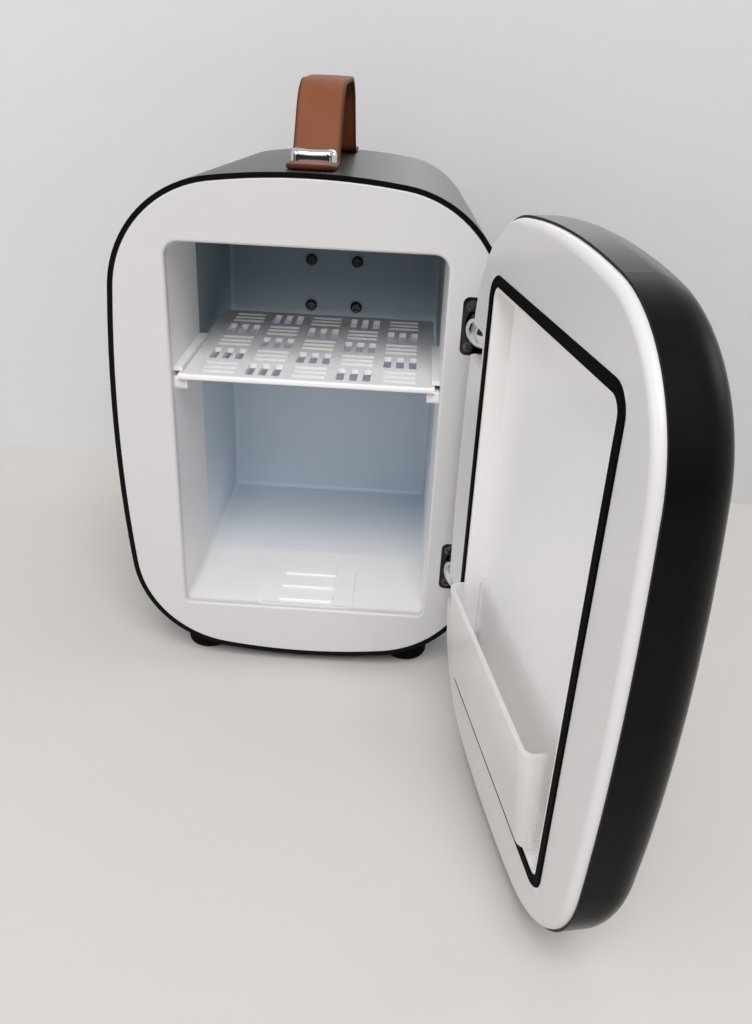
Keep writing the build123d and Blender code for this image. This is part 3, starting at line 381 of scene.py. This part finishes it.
def pocket_plastic():
    """Plastic of the door pocket: milky in its front wall, and nearly clear in the rest."""
    f = Finish("pocket_plastic", specular_ior_level=0.4)
    haze = f.noise(60.0, 4.0)
    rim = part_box("door_pocket")[1].z
    front = reach("door_pocket", DOOR_INWARD)[1]
    front_wall = f.ranged(f.towards(DOOR_INWARD), front - POCKET_CLEAR, front - POCKET_MILKY)
    milky = front_wall * f.ranged(f.along("Z"), rim, rim - POCKET_RIM_FADE, 0.6, 1.0)
    f.feed("Base Color", f.blend((0.88, 0.875, 0.87), (0.92, 0.915, 0.91), haze))
    f.feed("Roughness", 0.1 + haze * 0.1)
    f.feed("Alpha", 0.1 + haze * 0.08 + milky * 0.7)
    milk = f.node("ShaderNodeBsdfTranslucent", None, {"Color": (0.96, 0.955, 0.95, 1.0)})
    f.mix_in(milk, milky * 0.6)
    return f.material


def grained_black():
    """Black moulding with a leathery mould grain, for the rear cover and the fan."""
    f = Finish("grained_black", specular_ior_level=0.35)
    cloud = f.noise(30.0, 3.0)
    f.feed("Base Color", f.blend((0.011, 0.011, 0.012), (0.022, 0.022, 0.024), cloud))
    f.feed("Roughness", 0.45 + cloud * 0.15)
    f.bump(f.cells(1100.0), 0.12 * MM)
    return f.material


def gloss_black():
    """Polished black plastic of the switch."""
    f = Finish("gloss_black", specular_ior_level=0.5)
    smudge = f.noise(200.0, 4.0)
    f.feed("Base Color", f.blend((0.008, 0.008, 0.009), (0.014, 0.014, 0.015), smudge))
    f.feed("Roughness", 0.12 + smudge * 0.12)
    return f.material


def bead_foam():
    """Expanded foam with pressed beads."""
    f = Finish("bead_foam", specular_ior_level=0.2)
    beads = f.cells(280.0)
    f.feed("Base Color", f.blend((0.8, 0.79, 0.76), (0.68, 0.67, 0.63), beads))
    f.feed("Roughness", 0.75 + beads * 0.2)
    f.bump(beads, 0.5 * MM)
    return f.material


def milled_metal():
    """Bare aluminium with cutter lines."""
    f = Finish("milled_metal", metallic=1.0)
    lines = f.noise(1.0, 3.0, stretch=(60.0, 60.0, 1400.0))
    f.feed("Base Color", f.blend((0.52, 0.53, 0.55), (0.66, 0.67, 0.68), lines))
    f.feed("Roughness", 0.28 + lines * 0.16)
    f.bump(lines, 0.03 * MM)
    return f.material


def fired_ceramic(name, dark, light):
    """Matte ceramic with fine speckles."""
    f = Finish(name, specular_ior_level=0.4)
    speck = f.noise(1400.0, 3.0)
    f.feed("Base Color", f.blend(dark, light, speck))
    f.feed("Roughness", 0.5 + speck * 0.2)
    f.bump(speck, 0.04 * MM)
    return f.material


def board_green():
    """Circuit board with copper tracks under its green mask."""
    f = Finish("board_green", specular_ior_level=0.5)
    sockets = {"Vector": f.place, "Scale": 120.0, "Mortar Size": 0.03}
    tracks = f.node("ShaderNodeTexBrick", None, sockets, "Fac")
    f.feed("Base Color", f.blend((0.012, 0.085, 0.04), (0.03, 0.16, 0.07), tracks))
    f.feed("Roughness", 0.3 + tracks * 0.15)
    f.bump(tracks, 0.04 * MM)
    return f.material


def pin_brass():
    """Brass contact pins."""
    f = Finish("pin_brass", metallic=1.0)
    tarnish = f.noise(500.0, 4.0)
    f.feed("Base Color", f.blend((0.5, 0.36, 0.15), (0.66, 0.5, 0.24), tarnish))
    f.feed("Roughness", 0.2 + tarnish * 0.2)
    return f.material


def make_finishes():
    """A finish for each of the record's material slots."""
    return {
        "black_shell": satin_black(),
        "white_plastic": satin_white("frame_white", face_painted_shade),
        "cavity_metal": cavity_metal(),
        "foam": bead_foam(),
        "chrome": chrome_plate(),
        "steel": rolled_steel("plain_steel", (0.3, 0.3, 0.31), (0.42, 0.42, 0.43), 0.1),
        "dark_steel": rolled_steel("dark_steel", (0.03, 0.032, 0.036), (0.075, 0.078, 0.084), 0.16),
        "seal_rubber": soft_rubber("seal_rubber", (0.002, 0.002, 0.0022), (0.004, 0.004, 0.0044), 0.5),
        "foot_rubber": soft_rubber("foot_rubber", (0.004, 0.004, 0.004), (0.008, 0.008, 0.008), 0.6),
        "strap_leather": strap_leather(),
        "shelf_plastic": shelf_plastic(),
        "pocket_plastic": pocket_plastic(),
        "bare_aluminium": milled_metal(),
        "module_ceramic": fired_ceramic("module_ceramic", (0.72, 0.72, 0.7), (0.82, 0.82, 0.8)),
        "magnet_ferrite": fired_ceramic("magnet_ferrite", (0.03, 0.03, 0.033), (0.06, 0.06, 0.064)),
        "black_plastic": grained_black(),
        "gloss_black": gloss_black(),
        "board_green": board_green(),
        "brass": pin_brass(),
    }


def dress_cad_pieces():
    """Gives every CAD piece the finish of its material slot, and a few pieces one of their own."""
    for row in frame["record"]["subparts"]:
        mesh = nodes[row["node"]].data
        mesh.materials.clear()
        mesh.materials.append(finishes[row["material_slot"]])
    # the door liner's white, with painted shade on its lip
    nodes["door_liner"].data.materials[0] = satin_white("door_white", lip_painted_shade)
    screws = rolled_steel("hinge_screw_steel", (0.09, 0.09, 0.095), (0.16, 0.16, 0.165), 0.08)
    nodes["hinge_plate_screws"].data.materials[0] = screws
    pins = rolled_steel("black_pin_steel", (0.004, 0.004, 0.005), (0.009, 0.009, 0.01), 0.35)
    for node in ("hinge_pin_upper", "hinge_pin_lower"):
        nodes[node].data.materials[0] = pins


# Modelled pieces


def add_object(name, bm, material):
    """A finished mesh as an object of the scene."""
    for face in bm.faces:
        face.smooth = True
    mesh = bpy.data.meshes.new(name)
    bm.to_mesh(mesh)
    bm.free()
    mesh.materials.append(material)
    made = bpy.data.objects.new(name, mesh)
    bpy.context.scene.collection.objects.link(made)
    return made


def add_piece(name, bm, slot, *replaced):
    """A modelled piece that rides on the cabinet in place of CAD nodes."""
    bmesh.ops.recalc_face_normals(bm, faces=bm.faces)
    piece = add_object(name, bm, finishes[slot])
    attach(piece, "cabinet")
    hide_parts(*replaced)


def rounded_path(corners, bends):
    """Points along a line through corners, in a plane, with round bends."""
    steps = STRAP_BEND_STEPS
    path = [corners[0]]
    for before, corner, after, bend in zip(corners, corners[1:], corners[2:], bends):
        back = (before - corner).normalized()
        onward = (after - corner).normalized()
        half_turn = (math.pi - back.angle(onward)) / 2
        centre = corner + (back + onward).normalized() * bend / math.cos(half_turn)
        start = back * bend * math.tan(half_turn) + corner - centre
        end = onward * bend * math.tan(half_turn) + corner - centre
        sweep = math.copysign(2 * half_turn, start.cross(end))
        for k in range(steps + 1):
            path.append(centre + Matrix.Rotation(sweep * k / steps, 2) @ start)
    path.append(corners[-1])
    return path


def strap_corners():
    """Corners of the strap's middle line, seen from the side: Y and Z."""
    flat = BODY_DEPTH - 2 * (STRAP_LEG + STRAP_LEAN) - STRAP_START
    far = STRAP_LEG + 2 * STRAP_LEAN + flat
    corners = []
    for distance, lift in (
        (STRAP_START, 0.0),
        (STRAP_LEG, 0.0),
        (STRAP_LEG + STRAP_LEAN, STRAP_RISE),
        (far - STRAP_LEAN, STRAP_RISE),
        (far, 0.0),
        (far + STRAP_LEG - STRAP_START, 0.0),
    ):
        deck = BODY_TOP - REAR_SHRINK * distance / BODY_DEPTH
        level = BODY_TOP - STRAP_THICKNESS / 2 + lift if lift else deck + STRAP_THICKNESS / 2
        corners.append(Vector((BODY_FRONT + distance, level)))
    return corners


def point_at(path, distance):
    """Place and direction on a path, at a distance from its start."""
    for start, end in zip(path, path[1:]):
        length = (end - start).length
        if distance <= length or end is path[-1]:
            way = (end - start).normalized()
            return start + way * distance, way
        distance -= length


def add_strap():
    """Leather strap: a flat strip with round ends, bent along its path and given its thickness."""
    bends = (STRAP_FOOT_BEND, STRAP_ARCH_BEND, STRAP_ARCH_BEND, STRAP_FOOT_BEND)
    path = rounded_path(strap_corners(), bends)
    total = sum((b - a).length for a, b in zip(path, path[1:]))
    bm = bmesh.new()
    bmesh.ops.create_grid(bm, x_segments=STRAP_COLUMNS, y_segments=STRAP_ROWS, size=0.5)
    from_edge = bm.verts.layers.float.new("from_edge")
    for vert in bm.verts:
        distance = (vert.co.y + 0.5) * total
        from_end = min(distance, total - distance, STRAP_END_CORNER)
        into_corner = STRAP_END_CORNER - from_end
        drawn_in = STRAP_END_CORNER - math.sqrt(STRAP_END_CORNER**2 - into_corner**2)
        across = 2 * vert.co.x
        place, way = point_at(path, distance)
        outward = Vector((-way.y, way.x))
        place = place + outward * (STRAP_THICKNESS / 2 - STRAP_CROWN * across**2)
        half = STRAP_WIDTH / 2 - drawn_in
        vert[from_edge] = min(half * (1 - abs(across)), distance, total - distance)
        vert.co = (across * half, place.x, place.y)
    bmesh.ops.recalc_face_normals(bm, faces=bm.faces)
    bmesh.ops.solidify(bm, geom=bm.faces[:], thickness=STRAP_THICKNESS - STRAP_CROWN)
    rim = [edge for edge in bm.edges if edge.calc_face_angle(0.0) > STRAP_RIM_ANGLE]
    bmesh.ops.bevel(
        bm,
        geom=rim,
        offset=STRAP_EDGE,
        offset_type="OFFSET",
        segments=STRAP_EDGE_STEPS,
        profile=0.5,
        affect="EDGES",
        material=-1,
    )
    add_piece("leather_strap", bm, "strap_leather", "handle_strap")


# Stage, light and camera


def seen_directly(g):
    """Whether the camera, a mirror or a clear piece sees the surface, and not only its light."""
    rays = ("Is Camera Ray", "Is Glossy Ray", "Is Transmission Ray")
    camera, glossy, clear = (g.node("ShaderNodeLightPath", output=ray) for ray in rays)
    return camera.larger(glossy).larger(clear)


def add_floor():
    """Pale table top, which fades into the backdrop far from the fridge."""
    bm = bmesh.new()
    bmesh.ops.create_grid(bm, x_segments=1, y_segments=1, size=FLOOR_REACH)
    f = Finish("table_top", specular_ior_level=0.2)
    cloud = f.noise(1.6, 3.0)
    f.feed("Base Color", f.blend((0.6, 0.58, 0.555), (0.64, 0.62, 0.595), cloud))
    f.feed("Roughness", 0.55 + cloud * 0.1)
    distance = f.node("ShaderNodeVectorMath", {"operation": "LENGTH"}, {0: f.place}, "Value")
    far = f.ranged(distance, FLOOR_NEAR, FLOOR_FAR)
    f.mix_in(f.node("ShaderNodeEmission", None, BACKDROP), seen_directly(f) * far)
    add_object("floor", bm, f.material)


def add_wall():
    """Pale wall close behind the fridge, which is only there as seen from its front."""
    bm = bmesh.new()
    bmesh.ops.create_grid(bm, x_segments=1, y_segments=1, size=0.5)
    bmesh.ops.scale(bm, vec=(WALL_WIDTH, WALL_HEIGHT, 1.0), verts=bm.verts)
    upright = Matrix.Rotation(math.radians(90.0), 4, "X")
    turned = Matrix.Rotation(math.radians(WALL_TURN), 4, "Z") @ upright
    place = Matrix.Translation((0.0, WALL_DISTANCE, WALL_HEIGHT / 2))
    bmesh.ops.transform(bm, matrix=place @ turned, verts=bm.verts)
    f = Finish("wall_paint", specular_ior_level=0.2)
    cloud = f.noise(5.0, 4.0)
    f.feed("Base Color", f.blend((0.67, 0.665, 0.675), (0.71, 0.705, 0.71), cloud))
    f.feed("Roughness", 0.6 + cloud * 0.1)
    f.bump(f.noise(28.0, 3.0), 0.6 * MM)
    from_behind = f.node("ShaderNodeNewGeometry", output="Backfacing")
    f.mix_in(f.node("ShaderNodeBsdfTransparent"), from_behind)
    wall = add_object("wall", bm, f.material)
    wall.visible_glossy = False
    wall.visible_shadow = False


def aimed(place, target):
    """Matrix of something that stands at a place and looks at a target."""
    way = Vector(target) - Vector(place)
    return Matrix.Translation(place) @ way.to_track_quat("-Z", "Y").to_matrix().to_4x4()


def add_flag(name, place, target, width, height):
    """Dark cloth out of the camera's sight, which gives bright metal something dark to mirror."""
    bm = bmesh.new()
    bmesh.ops.create_grid(bm, x_segments=1, y_segments=1, size=0.5)
    bmesh.ops.scale(bm, vec=(width, height, 1.0), verts=bm.verts)
    bmesh.ops.transform(bm, matrix=aimed(place, target), verts=bm.verts)
    f = Finish(name, specular_ior_level=0.1)
    f.feed("Base Color", f.blend((0.02, 0.02, 0.022), (0.04, 0.04, 0.044), f.noise(3.0)))
    flag = add_object(name, bm, f.material)
    flag.visible_camera = False
    flag.visible_diffuse = False
    flag.visible_shadow = False


def add_lamp(name, place, target, size, power, colour):
    """Square soft box that looks at a point."""
    lamp = bpy.data.lights.new(name, "AREA")
    lamp.shape = "SQUARE"
    lamp.size = size
    lamp.energy = power
    lamp.color = colour
    holder = bpy.data.objects.new(name, lamp)
    holder.matrix_world = aimed(place, target)
    holder.visible_camera = False
    bpy.context.scene.collection.objects.link(holder)


def add_world():
    """Even white surroundings, which the camera, mirrors and clear pieces see as a pale backdrop."""
    world = bpy.data.worlds.new("studio")
    bpy.context.scene.world = world
    world.use_nodes = True
    g = Graph(world.node_tree)
    light = g.node("ShaderNodeBackground", None, SURROUNDINGS)
    backdrop = g.node("ShaderNodeBackground", None, BACKDROP)
    mixed = g.node("ShaderNodeMixShader", None, {0: seen_directly(g), 1: light, 2: backdrop})
    g.tree.links.new(mixed.socket, g.tree.nodes["World Output"].inputs["Surface"])


def add_camera():
    """Camera at the photograph's place, for an upright image."""
    heading = math.radians(CAMERA_HEADING)
    down = math.radians(CAMERA_DOWN)
    roll = math.radians(CAMERA_ROLL)
    onward = Vector((math.sin(heading), math.cos(heading), 0.0))
    ahead = onward * math.cos(down) - UP * math.sin(down)
    level = Vector((math.cos(heading), -math.sin(heading), 0.0))
    upright = level.cross(ahead)
    right = level * math.cos(roll) + upright * math.sin(roll)
    up = upright * math.cos(roll) - level * math.sin(roll)
    camera = bpy.data.cameras.new("camera")
    camera.sensor_fit = "VERTICAL"
    camera.lens = FOCAL_PIXELS / IMAGE_HEIGHT * camera.sensor_height
    camera.clip_start = CAMERA_NEAREST
    holder = bpy.data.objects.new("camera", camera)
    turn = Matrix((right, up, -ahead)).transposed().to_4x4()
    holder.matrix_world = Matrix.Translation(CAMERA_PLACE) @ turn
    bpy.context.scene.collection.objects.link(holder)
    bpy.context.scene.camera = holder


finishes = make_finishes()
dress_cad_pieces()
add_strap()
add_floor()
add_wall()
add_flag("low_flag", place=(0.0, -0.9, 0.16), target=(0.0, 0.0, 0.22), width=2.6, height=0.44)
add_flag("tall_flag", place=(0.06, -0.85, 0.5), target=(0.0, 0.0, 0.2), width=0.26, height=0.7)
add_flag("left_flag", place=(-0.9, -0.32, 0.22), target=(0.09, -0.11, 0.2), width=0.36, height=0.6)
add_world()
add_lamp("key", place=(0.13, -1.1, 1.36), target=(0.0, 0.0, 0.1), size=0.9, power=20.0, colour=KEY_WHITE)
add_lamp("fill", place=(-1.3, -0.9, 0.8), target=(0.0, -0.1, 0.12), size=1.2, power=8.0, colour=FILL_WHITE)
add_lamp("rear", place=(0.5, 1.4, 1.1), target=(0.0, 0.1, 0.15), size=1.2, power=7.0, colour=REAR_WHITE)
add_lamp("side", place=(1.35, 0.25, 0.75), target=(0.1, 0.0, 0.15), size=0.5, power=3.0, colour=SIDE_WHITE)
add_camera()
bpy.context.scene.view_settings.view_transform = "Standard"
